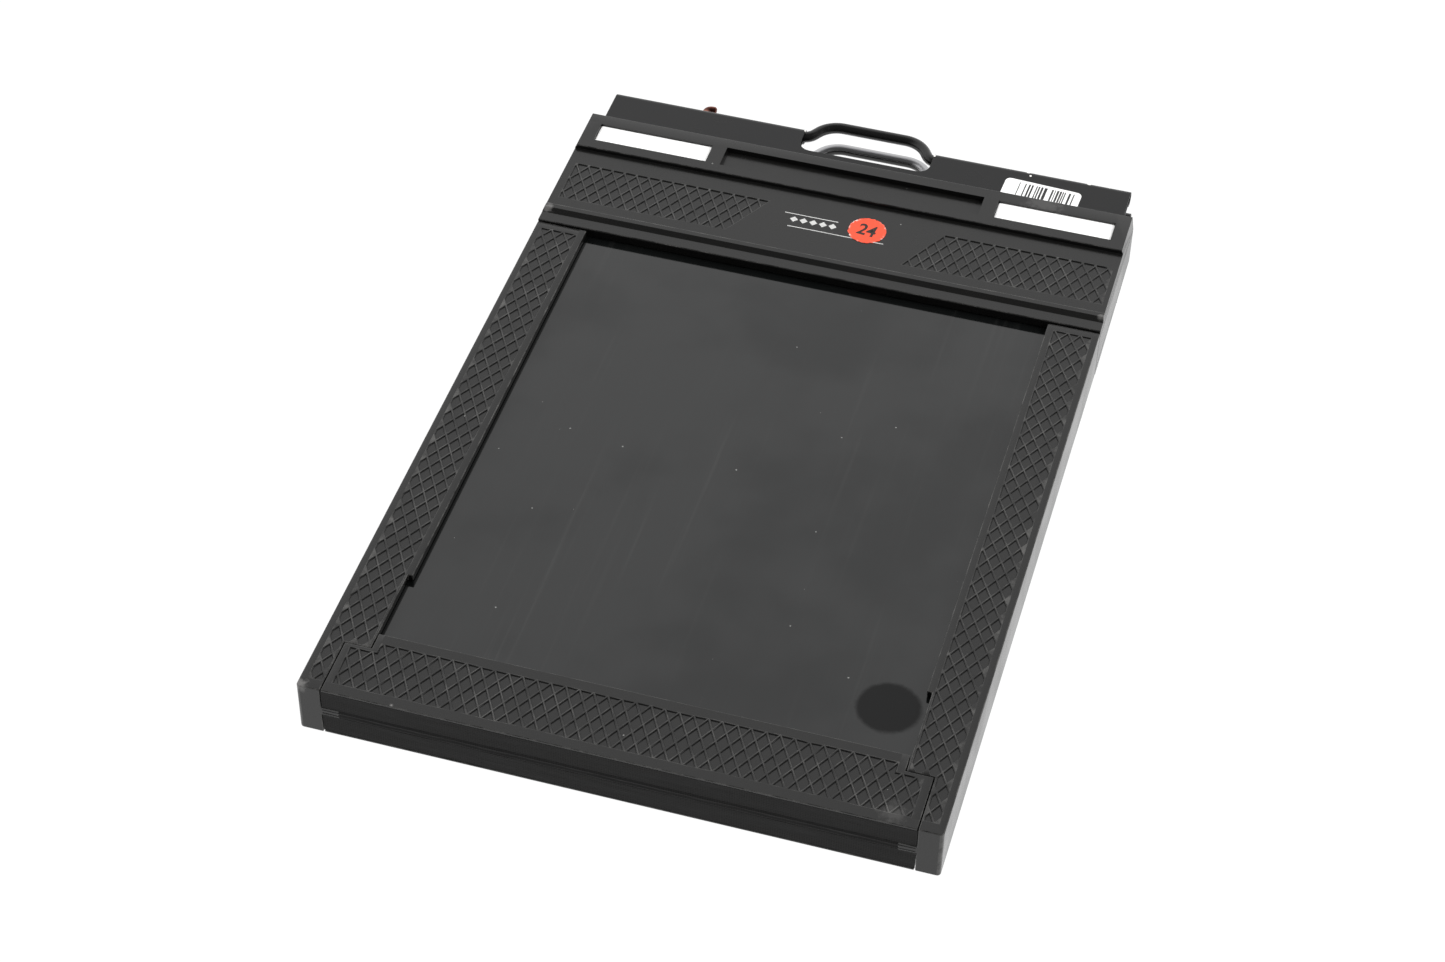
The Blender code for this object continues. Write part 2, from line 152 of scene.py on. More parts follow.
class Wiring:
    """Short hand for adding and linking the nodes of one tree."""

    def __init__(self, tree):
        self.tree = tree

    def add(self, kind, inputs=None, **settings):
        """A new node with its settings, and its inputs linked or set."""
        node = self.tree.nodes.new(kind)
        for key, value in settings.items():
            setattr(node, key, value)
        for key, value in (inputs or {}).items():
            self.feed(node.inputs[key], value)
        return node

    def feed(self, socket, value):
        """Link a socket to an input, or set its value."""
        if isinstance(value, bpy.types.NodeSocket):
            self.tree.links.new(value, socket)
        else:
            socket.default_value = value

    def math(self, operation, a, b):
        """One arithmetic step."""
        return self.add("ShaderNodeMath", {0: a, 1: b}, operation=operation).outputs[0]

    def ramp(self, value, low, high, to_low=0.0, to_high=1.0):
        """A value stretched smoothly from one range to another."""
        node = self.add(
            "ShaderNodeMapRange",
            {"Value": value, "From Min": low, "From Max": high, "To Min": to_low, "To Max": to_high},
            interpolation_type="SMOOTHSTEP",
        )
        return node.outputs["Result"]

    def mix(self, share, first, second):
        """Two colours mixed."""
        node = self.add("ShaderNodeMix", data_type="RGBA")
        self.feed(node.inputs[0], share)
        self.feed(node.inputs[6], first)
        self.feed(node.inputs[7], second)
        return node.outputs[2]

    def lay(self, base, mask, share, color):
        """A colour laid over another where a mask is, at a share of its strength."""
        return self.mix(self.math("MULTIPLY", mask, share), base, color)

    def place(self, scale=(1, 1, 1)):
        """Object coordinates, stretched."""
        where = self.add("ShaderNodeTexCoord").outputs["Object"]
        node = self.add("ShaderNodeMapping", {"Vector": where, "Scale": scale})
        return node.outputs["Vector"]

    def noise(self, vector, scale, detail=3.0, roughness=0.55):
        """Cloudy noise from 0 to 1."""
        inputs = {"Vector": vector, "Scale": scale, "Detail": detail, "Roughness": roughness}
        return self.add("ShaderNodeTexNoise", inputs).outputs["Fac"]


def shade_group(name, inputs, outputs, wire_up):
    """A shader node group with named sockets, made once. wire_up(wiring, inputs) gives its outputs."""
    found = bpy.data.node_groups.get(name)
    if found is not None:
        return found
    tree = bpy.data.node_groups.new(name, "ShaderNodeTree")
    for label, kind, default in inputs:
        socket = tree.interface.new_socket(label, in_out="INPUT", socket_type=kind)
        socket.default_value = default
    for label in outputs:
        tree.interface.new_socket(label, in_out="OUTPUT", socket_type="NodeSocketFloat")
    wiring = Wiring(tree)
    entry = wiring.add("NodeGroupInput")
    results = wire_up(wiring, entry.outputs)
    wiring.add("NodeGroupOutput", dict(zip(outputs, results)))
    return tree


def grain_group():
    """Fine moulded grain, and slow clouds of tone over it."""

    def wire_up(w, given):
        where = w.place()
        fine = w.noise(where, given["Scale"], 4.0, 0.6)
        clouds = w.noise(where, 70.0, 4.0, 0.6)
        return fine, clouds

    return shade_group("moulded grain", [("Scale", "NodeSocketFloat", 3500.0)], ["Height", "Tone"], wire_up)


def dust_group():
    """Small bright specks, thinly scattered."""

    def wire_up(w, given):
        cells = w.add(
            "ShaderNodeTexVoronoi", {"Vector": w.place(), "Scale": given["Scale"], "Randomness": 1.0}
        )
        chance = w.add("ShaderNodeSeparateColor", {"Color": cells.outputs["Color"]})
        rare = w.math("LESS_THAN", chance.outputs[0], given["Share"])
        size = w.math("MULTIPLY", chance.outputs[1], 0.11)
        near = w.math("LESS_THAN", cells.outputs["Distance"], size)
        return [w.math("MULTIPLY", rare, near)]

    inputs = [("Scale", "NodeSocketFloat", 500.0), ("Share", "NodeSocketFloat", 0.05)]
    return shade_group("dust specks", inputs, ["Mask"], wire_up)


def streak_group():
    """Faint rubbed streaks along the holder."""

    def wire_up(w, given):
        fine = w.noise(w.place((900, 14, 900)), 1.0, 3.0, 0.6)
        wide = w.noise(w.place((160, 9, 160)), 1.0, 2.0, 0.5)
        lines = w.ramp(fine, 0.55, 0.78)
        return [w.math("MULTIPLY", lines, w.ramp(wide, 0.35, 0.75)), wide]

    return shade_group("rubbed streaks", [], ["Lines", "Bands"], wire_up)


def wear_group():
    """Where edges are rubbed: the piece's wear attribute broken up by noise."""

    def wire_up(w, given):
        mark = w.add("ShaderNodeAttribute", attribute_name="wear")
        patches = w.ramp(w.noise(w.place(), 260.0, 5.0, 0.7), given["From"], 0.72)
        return [w.math("MULTIPLY", mark.outputs["Fac"], patches)]

    return shade_group("edge wear", [("From", "NodeSocketFloat", 0.45)], ["Mask"], wire_up)


def weave_group():
    """Fine cloth: crossing threads with a loose, uneven surface."""

    def wire_up(w, given):
        where = w.place()
        along = w.add("ShaderNodeTexWave", {"Vector": where, "Scale": given["Scale"], "Distortion": 1.5})
        along.bands_direction = "X"
        across = w.add("ShaderNodeTexWave", {"Vector": where, "Scale": given["Scale"], "Distortion": 1.5})
        across.bands_direction = "Z"
        threads = w.math("MAXIMUM", along.outputs["Fac"], across.outputs["Fac"])
        folds = w.noise(w.place((60, 200, 700)), 1.0, 4.0, 0.6)
        return threads, folds

    return shade_group("cloth weave", [("Scale", "NodeSocketFloat", 700.0)], ["Threads", "Folds"], wire_up)


def patch_group():
    """A round patch about a point, with a soft or broken rim."""

    def wire_up(w, given):
        where = w.place()
        apart = w.add("ShaderNodeVectorMath", {0: where, 1: given["Centre"]}, operation="DISTANCE")
        ragged = w.math("MULTIPLY", w.math("SUBTRACT", w.noise(where, 900.0, 3.0), 0.5), given["Ragged"])
        reach = w.math("ADD", w.math("DIVIDE", apart.outputs["Value"], given["Radius"]), ragged)
        return [w.math("SUBTRACT", 1.0, w.ramp(reach, w.math("SUBTRACT", 1.0, given["Soft"]), 1.0))]

    inputs = [
        ("Centre", "NodeSocketVector", (0, 0, 0)),
        ("Radius", "NodeSocketFloat", 0.005),
        ("Soft", "NodeSocketFloat", 0.3),
        ("Ragged", "NodeSocketFloat", 0.0),
    ]
    return shade_group("round patch", inputs, ["Mask"], wire_up)


class Surface:
    """A material with a Principled shader, and helpers that layer effects on it."""

    def __init__(self, name, specular=0.5):
        self.material = bpy.data.materials.new(name)
        self.material.use_nodes = True
        tree = self.material.node_tree
        self.shader = tree.nodes["Principled BSDF"]
        self.shader.inputs["Specular IOR Level"].default_value = specular
        self.w = Wiring(tree)

    def group(self, tree, **inputs):
        """One of the shared groups, with its own values."""
        node = self.w.add("ShaderNodeGroup", node_tree=tree)
        for label, value in inputs.items():
            self.w.feed(node.inputs[label], value)
        return node.outputs

    def patch(self, point, radius, soft=0.3, ragged=0.0, half=FRONT):
        """A round patch about a point given in millimetres from the working point."""
        centre = half @ Vector(point)
        made = self.group(patch_group(), Centre=centre, Radius=radius * MM, Soft=soft, Ragged=ragged)
        return made["Mask"]

    def set(self, color=None, roughness=None, metallic=None):
        """Feed the shader."""
        if color is not None:
            self.w.feed(self.shader.inputs["Base Color"], color)
        if roughness is not None:
            self.w.feed(self.shader.inputs["Roughness"], roughness)
        if metallic is not None:
            self.w.feed(self.shader.inputs["Metallic"], metallic)

    def bump(self, height, depth, strength):
        """Raise the surface by a height map, depth in millimetres."""
        inputs = {"Height": height, "Distance": depth * MM, "Strength": strength}
        made = self.w.add("ShaderNodeBump", inputs)
        self.w.feed(self.shader.inputs["Normal"], made.outputs["Normal"])


def opaque(color):
    """A colour with full alpha."""
    return (*color, 1.0)


def moulded_plastic(name, color, worn):
    """Black moulded plastic with a fine grain, tone clouds, rubbed edges and specks."""
    s = Surface(name)
    w = s.w
    made = s.group(grain_group(), Scale=3500.0)
    rubbed = s.group(wear_group(), From=0.36)["Mask"]
    specks = s.group(dust_group(), Scale=600.0, Share=0.03)["Mask"]
    base = w.mix(made["Tone"], opaque(color), opaque([c * 1.35 for c in color]))
    base = w.lay(base, rubbed, 0.7, (0.1, 0.098, 0.094, 1))
    base = w.lay(base, specks, 0.6, (0.3, 0.3, 0.29, 1))
    for point, radius, strength in worn:
        scuff = s.patch(point, radius, soft=0.8, ragged=1.6)
        base = w.lay(base, scuff, strength, (0.2, 0.195, 0.19, 1))
    rough = w.math("ADD", w.ramp(made["Tone"], 0.3, 0.7, 0.21, 0.28), w.math("MULTIPLY", rubbed, 0.12))
    s.set(base, rough)
    s.bump(made["Height"], 0.012, 0.6)
    return s.material


# The round stain on the front slide
STAIN_PLACE, STAIN_RADIUS = (43.6, 27.5, 3.95), 6.7


def slide_sheet(name, color, stained):
    """Satin sheet of a dark slide: a glossy coat, lengthwise rubbing, dust, and one stain if stained."""
    s = Surface(name, specular=0.18)
    s.shader.inputs["Coat Roughness"].default_value = 0.09
    w = s.w
    made = s.group(grain_group(), Scale=2200.0)
    streaks = s.group(streak_group())
    specks = s.group(dust_group(), Scale=520.0, Share=0.07)["Mask"]
    base = w.mix(streaks["Bands"], opaque(color), opaque([c * 1.3 for c in color]))
    base = w.lay(base, streaks["Lines"], 0.1, (0.12, 0.12, 0.115, 1))
    rough = w.ramp(made["Tone"], 0.3, 0.7, 0.07, 0.11)
    rough = w.math("ADD", rough, w.math("MULTIPLY", streaks["Lines"], 0.1))
    smudges = w.ramp(w.noise(w.place(), 38.0, 3.0, 0.5), 0.42, 0.7)
    dull = w.math("MULTIPLY", smudges, 0.2)
    if stained:
        disc = s.patch(STAIN_PLACE, STAIN_RADIUS, soft=0.2, ragged=0.1)
        base = w.lay(base, disc, 0.75, (0.004, 0.004, 0.004, 1))
        rough = w.math("ADD", rough, w.math("MULTIPLY", disc, 0.3))
        dull = w.math("MAXIMUM", dull, w.math("MULTIPLY", disc, 0.85))
    w.feed(s.shader.inputs["Coat Weight"], w.math("MULTIPLY", w.math("SUBTRACT", 1.0, dull), 0.9))
    base = w.lay(base, dull, 0.5, (0.002, 0.002, 0.002, 1))
    base = w.lay(base, specks, 0.5, (0.35, 0.35, 0.34, 1))
    s.set(base, rough)
    s.bump(made["Height"], 0.004, 0.5)
    return s.material


def hem_enamel(name, chips):
    """Black enamel on folded metal, chipped to the white undercoat and bare metal at the edges."""
    s = Surface(name, specular=0.32)
    w = s.w
    made = s.group(grain_group(), Scale=1500.0)
    rubbed = s.group(wear_group(), From=0.5)["Mask"]
    base = w.mix(made["Tone"], (0.005, 0.005, 0.005, 1), (0.008, 0.008, 0.0085, 1))
    base = w.lay(base, rubbed, 0.35, (0.2, 0.2, 0.2, 1))
    for point, radius in chips:
        base = w.mix(s.patch(point, radius, soft=0.15, ragged=1.1), base, (0.8, 0.79, 0.76, 1))
    s.set(base, w.ramp(made["Tone"], 0.3, 0.7, 0.26, 0.36))
    s.bump(made["Height"], 0.006, 0.5)
    return s.material


def bail_wire(name, half):
    """Wire that is enamelled black on its outward half and bright on its inward half."""
    s = Surface(name)
    w = s.w
    made = s.group(grain_group(), Scale=1600.0)
    across = w.add("ShaderNodeSeparateXYZ", {"Vector": w.place()}).outputs["Z"]
    middle = (half @ Vector((0, 0, (BAIL_LOW.z + BAIL_HIGH.z) / 2))).z
    side = 1 if half is FRONT else -1
    above = w.math("MULTIPLY", w.math("SUBTRACT", across, middle), side / MM)
    ragged = w.math("MULTIPLY", w.math("SUBTRACT", made["Tone"], 0.5), 0.8)
    painted = w.ramp(w.math("ADD", above, ragged), -0.5, -0.38)
    base = w.mix(painted, (0.5, 0.5, 0.51, 1), (0.006, 0.006, 0.006, 1))
    s.set(base, w.ramp(painted, 0, 1, 0.3, 0.27), w.math("SUBTRACT", 1.0, painted))
    s.bump(made["Height"], 0.01, 0.5)
    return s.material


def plain_metal(name, dark, light, rough):
    """Dull metal whose tone wanders between two colours."""
    s = Surface(name)
    w = s.w
    made = s.group(grain_group(), Scale=1800.0)
    spots = w.ramp(w.noise(w.place(), 420.0, 4.0), 0.4, 0.62)
    s.set(w.mix(spots, opaque(dark), opaque(light)), w.ramp(spots, 0, 1, rough + 0.12, rough), 1.0)
    s.bump(made["Height"], 0.01, 0.5)
    return s.material


def cloth(name, dark, light, scale=700.0):
    """Black book cloth or velvet."""
    s = Surface(name, specular=0.22)
    w = s.w
    made = s.group(weave_group(), Scale=scale)
    tone = w.math("MULTIPLY", made["Threads"], w.ramp(made["Folds"], 0.3, 0.7))
    s.set(w.mix(tone, opaque(dark), opaque(light)), w.ramp(made["Folds"], 0.3, 0.7, 0.55, 0.75))
    height = w.math("ADD", w.math("MULTIPLY", made["Threads"], 0.25), made["Folds"])
    s.bump(height, 0.09, 0.8)
    return s.material


def paper(name, color, grime, rough=0.65, rim=None):
    """Matt paper or painted writing surface, a little soiled. rim is (centre, radius) of a worn edge."""
    s = Surface(name, specular=0.35)
    w = s.w
    made = s.group(grain_group(), Scale=2500.0)
    dirt = w.ramp(w.noise(w.place(), 330.0, 5.0, 0.65), 0.5, 0.75)
    base = w.lay(opaque(color), dirt, 0.35, opaque(grime))
    if rim is not None:
        centre, radius = rim
        inside = s.patch(centre, radius, soft=0.14)
        flecks = w.ramp(w.noise(w.place(), 1300.0, 4.0, 0.7), 0.52, 0.6)
        worn = w.math("MULTIPLY", w.math("SUBTRACT", 1.0, inside), flecks)
        base = w.mix(worn, base, (0.75, 0.7, 0.66, 1))
    s.set(base, w.ramp(made["Tone"], 0.3, 0.7, rough, rough + 0.1))
    s.bump(made["Height"], 0.01, 0.4)
    return s.material


def ink(name, color, rough=0.5):
    """Printing ink, thinner in places."""
    s = Surface(name)
    w = s.w
    thin = w.ramp(w.noise(w.place(), 1500.0, 4.0), 0.42, 0.7)
    faded = opaque([c * 0.5 + 0.02 for c in color])
    s.set(w.lay(opaque(color), thin, 0.35, faded), rough)
    return s.material


# ---------------------------------------------------------------------------------------------
# Mesh helpers, in millimetres from the working point

# The wear mark of a fully rubbed face
RUBBED = 1.0


def move(bm, matrix):
    """Move a whole mesh."""
    bmesh.ops.transform(bm, matrix=matrix, verts=bm.verts)


def add_box(bm, place, size):
    """Add a box about a place."""
    bmesh.ops.create_cube(bm, size=1.0, matrix=place @ Matrix.Diagonal((*size, 1)))


def extrude(bm, faces, way):
    """Pull faces out along a vector, with walls behind them."""
    made = bmesh.ops.extrude_face_region(bm, geom=faces)["geom"]
    moved = [v for v in made if isinstance(v, bmesh.types.BMVert)]
    bmesh.ops.translate(bm, vec=way, verts=moved)


def round_off(bm, edges, radius, segments, clamp=False):
    """Round some edges and give back the faces of the rounding."""
    return bmesh.ops.bevel(
        bm, geom=edges, offset=radius, segments=segments, profile=0.5, affect="EDGES",
        material=-1, clamp_overlap=clamp,
    )["faces"]


def new_object(name, data):
    """A new object in the scene."""
    obj = bpy.data.objects.new(name, data)
    bpy.context.scene.collection.objects.link(obj)
    return obj


def cad_copy(node, half):
    """A node's shape with its points merged and its flat faces joined, ready for finer work."""
    bm = bmesh.new()
    bm.from_mesh(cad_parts[node].data)
    move(bm, half.inverted())
    bmesh.ops.remove_doubles(bm, verts=bm.verts, dist=0.002)
    bmesh.ops.dissolve_limit(bm, angle_limit=math.radians(1.5), verts=bm.verts, edges=bm.edges)
    return add_marks(bm)


def add_marks(bm):
    """Give the faces their marks: how much each is rubbed, and two for choosing faces. Call it first."""
    bm.faces.layers.float.new("wear")
    bm.faces.layers.int.new("chosen")
    bm.faces.layers.int.new("field")
    return bm


def soften(bm, radius, segments=2, pick=None, sharper=30.0):
    """Round the edges that are sharper than an angle, and mark them as rubbed."""
    layer = bm.faces.layers.float["wear"]
    edges = [
        e
        for e in bm.edges
        if len(e.link_faces) == 2
        and e.calc_face_angle(0) > math.radians(sharper)
        and (pick is None or pick(e))
    ]
    for face in round_off(bm, edges, radius, segments, clamp=True):
        face[layer] = RUBBED


def top_faces(bm, level):
    """The faces that look up at a level."""
    return [f for f in bm.faces if f.normal.z > 0.99 and abs(f.calc_center_median().z - level) < 0.02]


def slice_faces(bm, faces, point, normal):
    """Cut some faces along a plane and give back the pieces."""
    layer = bm.faces.layers.int["chosen"]
    for face in bm.faces:
        face[layer] = 0
    for face in faces:
        face[layer] = 1
    edges = {e for f in faces for e in f.edges}
    verts = {v for f in faces for v in f.verts}
    bmesh.ops.bisect_plane(
        bm, geom=[*faces, *edges, *verts], dist=0.0005, plane_co=point, plane_no=normal
    )
    return [f for f in bm.faces if f[layer] == 1]


def region(bm, level, corners):
    """Cut a convex region, given as (x, y) corners anticlockwise, out of the top faces at a level."""
    faces = top_faces(bm, level)
    for start, end in zip(corners, corners[1:] + corners[:1]):
        inward = Vector((start[1] - end[1], end[0] - start[0], 0)).normalized()
        point = Vector((*start, level))
        faces = slice_faces(bm, faces, point, inward)
        faces = [f for f in faces if (f.calc_center_bounds() - point).dot(inward) > 0]
    return faces


# The rounded side of a lattice ridge: width in millimetres and share of the depth, from the crest down
RIDGE_SIDE = ((0.09, 0.13), (0.08, 0.33), (0.06, 0.54))
RIDGE_ANGLE = 30.0
# Ridges that meet closer than this share their crossing
CROSSING_GAP = 0.16


def lattice(bm, level, regions, settings):
    """Sink a field of diamonds into flat regions. Cut diamonds at the border stay as smaller pits."""
    layer = bm.faces.layers.int["field"]
    rubbed = bm.faces.layers.float["wear"]
    for face in bm.faces:
        face[layer] = 0
    for corners in regions:
        for face in region(bm, level, corners):
            face[layer] = 1
    faces = [f for f in bm.faces if f[layer] == 1]
    if len(faces) > 1:
        bmesh.ops.dissolve_faces(bm, faces=faces, use_verts=False)
        faces = [f for f in bm.faces if f[layer] == 1]
    pitch = settings.lattice_pitch
    slope = math.tan(math.radians(RIDGE_ANGLE))
    xs = [v.co.x for f in faces for v in f.verts]
    ys = [v.co.y for f in faces for v in f.verts]
    for way in (1, -1):
        normal = Vector((1, -way * slope, 0)).normalized()
        reach = [x - way * slope * y for x in (min(xs), max(xs)) for y in (min(ys), max(ys))]
        for step in range(math.ceil(min(reach) / pitch), math.floor(max(reach) / pitch) + 1):
            faces = slice_faces(bm, faces, Vector((step * pitch, 0, level)), normal)
    corners = list({v for f in faces for v in f.verts})
    bmesh.ops.remove_doubles(bm, verts=corners, dist=CROSSING_GAP)
    faces = [f for f in bm.faces if f[bm.faces.layers.int["chosen"]] == 1]
    least = settings.lattice_crest + sum(width for width, drop in RIDGE_SIDE) + 0.2
    pits = [f for f in faces if 2 * f.calc_area() / f.calc_perimeter() > least]
    for face in faces:
        face[rubbed] = RUBBED
    bmesh.ops.inset_individual(bm, faces=pits, thickness=settings.lattice_crest, use_even_offset=True)
    for face in pits:
        face[rubbed] = 0.0
    for width, drop in RIDGE_SIDE:
        bmesh.ops.inset_individual(
            bm, faces=pits, thickness=width, depth=-drop * settings.lattice_depth, use_even_offset=True
        )


def rectangle(x0, y0, x1, y1):
    """The corners of a rectangle, anticlockwise."""
    return [(x0, y0), (x1, y0), (x1, y1), (x0, y1)]


def about(x, y, size):
    """The corners of a rectangle about its middle."""
    across, along = size[0] / 2, size[1] / 2
    return rectangle(x - across, y - along, x + across, y + along)


def sink(bm, level, corners, depth, wall=0.06):
    """Sink a pocket into a flat face."""
    faces = region(bm, level, corners)
    bmesh.ops.inset_region(bm, faces=faces, thickness=wall, depth=-depth, use_even_offset=True)


def block(low, high, corner=0.0, edge=0.0):
    """A box with rounded upright edges and a softened top."""
    bm = bmesh.new()
    size = Vector(high) - Vector(low)
    middle = (Vector(high) + Vector(low)) / 2
    add_box(bm, Matrix.Translation(middle), size)
    if corner:
        upright = [e for e in bm.edges if abs(e.verts[0].co.z - e.verts[1].co.z) > size.z / 2]
        round_off(bm, upright, corner, 6)
    if edge:
        rims = [e for e in bm.edges if min(v.co.z for v in e.verts) > high[2] - 1e-4]
        round_off(bm, rims, edge, 2)
    return bm


def prism(section, half_width):
    """A (y, level) section, extruded along X to both sides of the middle."""
    bm = bmesh.new()
    face = bm.faces.new([bm.verts.new((-half_width, y, level)) for y, level in section])
    extrude(bm, [face], (2 * half_width, 0, 0))
    bmesh.ops.recalc_face_normals(bm, faces=bm.faces)
    return add_marks(bm)


def arc(centre, radius, start, end, steps):
    """Points on an arc, angles in degrees."""
    angles = [math.radians(start + (end - start) * n / steps) for n in range(steps + 1)]
    return [(centre[0] + radius * math.cos(a), centre[1] + radius * math.sin(a)) for a in angles]


def bent_path(corners, radii):
    """The corners of a bent wire with each inner corner replaced by an arc."""
    steps = 10
    path = [Vector(corners[0])]
    for before, corner, after, radius in zip(corners, corners[1:], corners[2:], radii):
        corner = Vector(corner)
        back = (Vector(before) - corner).normalized()
        on = (Vector(after) - corner).normalized()
        half_angle = back.angle(on) / 2
        reach = radius / math.tan(half_angle)
        centre = corner + (back + on).normalized() * (radius / math.sin(half_angle))
        first = (corner + back * reach - centre).normalized()
        last = (corner + on * reach - centre).normalized()
        path += [centre + first.slerp(last, n / steps) * radius for n in range(steps + 1)]
    path.append(Vector(corners[-1]))
    return path


def from_curve(curve):
    """The mesh of a curve or text, with its caps welded on."""
    obj = new_object("guide", curve)
    bpy.context.view_layer.update()
    shape = obj.evaluated_get(bpy.context.evaluated_depsgraph_get())
    mesh = bpy.data.meshes.new_from_object(shape)
    bm = bmesh.new()
    bm.from_mesh(mesh)
    bmesh.ops.remove_doubles(bm, verts=bm.verts, dist=0.0005)
    bmesh.ops.recalc_face_normals(bm, faces=bm.faces)
    bpy.data.objects.remove(obj)
    bpy.data.meshes.remove(mesh)
    return bm


def wire(path, radius):
    """A round wire whose ends draw in a little over a short dome."""
    dome, end_share = 0.35, 0.6
    curve = bpy.data.curves.new("wire", "CURVE")
    curve.dimensions = "3D"
    curve.bevel_depth = radius
    curve.bevel_resolution = 6
    curve.use_fill_caps = True
    curve.use_radius = True
    ends = [path[0], path[0].lerp(path[1], dome / (path[1] - path[0]).length)]
    tails = [path[-1].lerp(path[-2], dome / (path[-1] - path[-2]).length), path[-1]]
    points = ends + list(path[1:-1]) + tails
    spline = curve.splines.new("POLY")
    spline.points.add(len(points) - 1)
    for knot, point in zip(spline.points, points):
        knot.co = (*point, 1)
    for end in (0, -1):
        spline.points[end].radius = end_share
    return from_curve(curve)


# A face this many times larger than its neighbour counts as flat, and the edge between them stays sharp
FLAT_SHARE = 12.0


def shade(bm, smooth):
    """Shade faces smoothly across shallow edges, but keep large flat faces flat."""
    for face in bm.faces:
        face.smooth = True
    areas = {face: face.calc_area() for face in bm.faces}
    for edge in bm.edges:
        if len(edge.link_faces) == 2:
            small, large = sorted(areas[face] for face in edge.link_faces)
            edge.smooth = edge.calc_face_angle(0) < math.radians(smooth) and large < FLAT_SHARE * small


def make_piece(name, bm, half, body, material, replaces=(), smooth=40.0):
    """Put a finished mesh in the frame, on its body."""
    shade(bm, smooth)
    move(bm, half)
    mesh = bpy.data.meshes.new(name)
    bm.to_mesh(mesh)
    bm.free()
    for label in ("custom_normal", "chosen", "field"):
        spare = mesh.attributes.get(label)
        if spare is not None:
            mesh.attributes.remove(spare)
    mesh.materials.append(material)
    obj = new_object(name, mesh)
    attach(obj, body)
    if replaces:
        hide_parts(*replaces)
    return obj


def dress(node, material):
    """Give a carried-over node its material."""
    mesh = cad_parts[node].data
    mesh.materials.clear()
    mesh.materials.append(material)


# Rubbed places on the frame: (point, radius, strength)
FRAME_SCUFFS = (
    ((-60.0, 0.3, RAIL_FACE), 2.2, 0.55),
    ((-59.4, RIB_TOP, RIB_LEVEL), 1.6, 0.5),
    ((59.8, RIB_TOP, RIB_LEVEL), 1.2, 0.4),
    ((41.0, BLOCK_END - 1.4, BAR_LEVEL), 5.0, 0.16),
    ((60.0, 3.0, 0.0), 3.0, 0.2),
)


def frame_plastic():
    """The plastic of the rails and the end block, made on first use."""
    name, color = "frame_plastic", bpy.context.scene.film_holder.plastic
    return bpy.data.materials.get(name) or moulded_plastic(name, color, FRAME_SCUFFS)


# ---------------------------------------------------------------------------------------------
# Operators


class FILMHOLDER_OT_rails(bpy.types.Operator):
    """Side rails with diamond texture on both faces and worn corners"""

    bl_idname = "filmholder.rails"
    bl_label = "Rails"

    def execute(self, context):
        settings = context.scene.film_holder
        for side, half in (("left", FRONT), ("right", REAR)):
            bm = cad_copy(f"rail_{side}", half)

            def near_corner(edge):
                """The upright outer corner at the near end."""
                return all(v.co.x < -HALF_WIDTH + 0.01 and v.co.y < 0.01 for v in edge.verts)

            soften(bm, 0.7, 4, near_corner)
            soften(bm, settings.edge_round)
            near = rectangle(-59.0, 2.3, -56.0, 11.8)
            far = rectangle(-59.0, 11.8, -50.9, RAIL_HIGH.y - 1.7)
            lattice(bm, RAIL_FACE, [near, far], settings)
            move(bm, HALF_TURN)
            turned = [[(-x, y) for x, y in reversed(corners)] for corners in (near, far)]
            lattice(bm, RAIL_FACE, turned, settings)
            move(bm, HALF_TURN)
            make_piece(
                f"textured_rail_{side}", bm, half, "frame", frame_plastic(),
                [f"rail_{side}"],
            )
        return {"FINISHED"}


def add_rim(bm):
    """Bring the top of the near edge forward, over the cloth."""
    rim_height, reach = 0.42, 0.06
    low = min(v.co.y for v in bm.verts)
    ends = [f for f in bm.faces if f.normal.y < -0.99 and f.calc_center_median().y < low + 0.1]
    cut = slice_faces(bm, ends, Vector((0, 0, RAIL_FACE - rim_height)), Vector((0, 0, 1)))
    rim = [f for f in cut if f.calc_center_bounds().z > RAIL_FACE - rim_height]
    extrude(bm, rim, (0, reach - low, 0))
    bmesh.ops.delete(bm, geom=rim, context="FACES_ONLY")
    bmesh.ops.dissolve_limit(bm, angle_limit=math.radians(1), verts=bm.verts, edges=bm.edges)


class FILMHOLDER_OT_flaps(bpy.types.Operator):
    """Loading flaps with diamond texture inside a smooth border"""

    bl_idname = "filmholder.flaps"
    bl_label = "Loading flaps"

    def execute(self, context):
        settings = context.scene.film_holder
        scuffs = (((50.7, 2.6, RAIL_FACE), 3.2, 0.13), ((-42.0, 0.4, RAIL_FACE), 0.5, 0.8))
        for side, half in HALVES.items():
            bm = cad_copy(f"flap_{side}", half)
            add_rim(bm)
            soften(bm, 0.14)
            middle = rectangle(-49.1, 2.25, 48.9, 14.15)
            left = rectangle(-54.3, 2.25, -49.1, 11.8)
            right = rectangle(48.9, 2.25, 54.0, 11.8)
            lattice(bm, RAIL_FACE, [middle, left, right], settings)
            plastic = moulded_plastic(f"flap_plastic_{side}", settings.plastic, scuffs)
            make_piece(
                f"textured_flap_{side}", bm, half, f"{side}_flap", plastic,
                [f"flap_{side}"],
            )
        return {"FINISHED"}


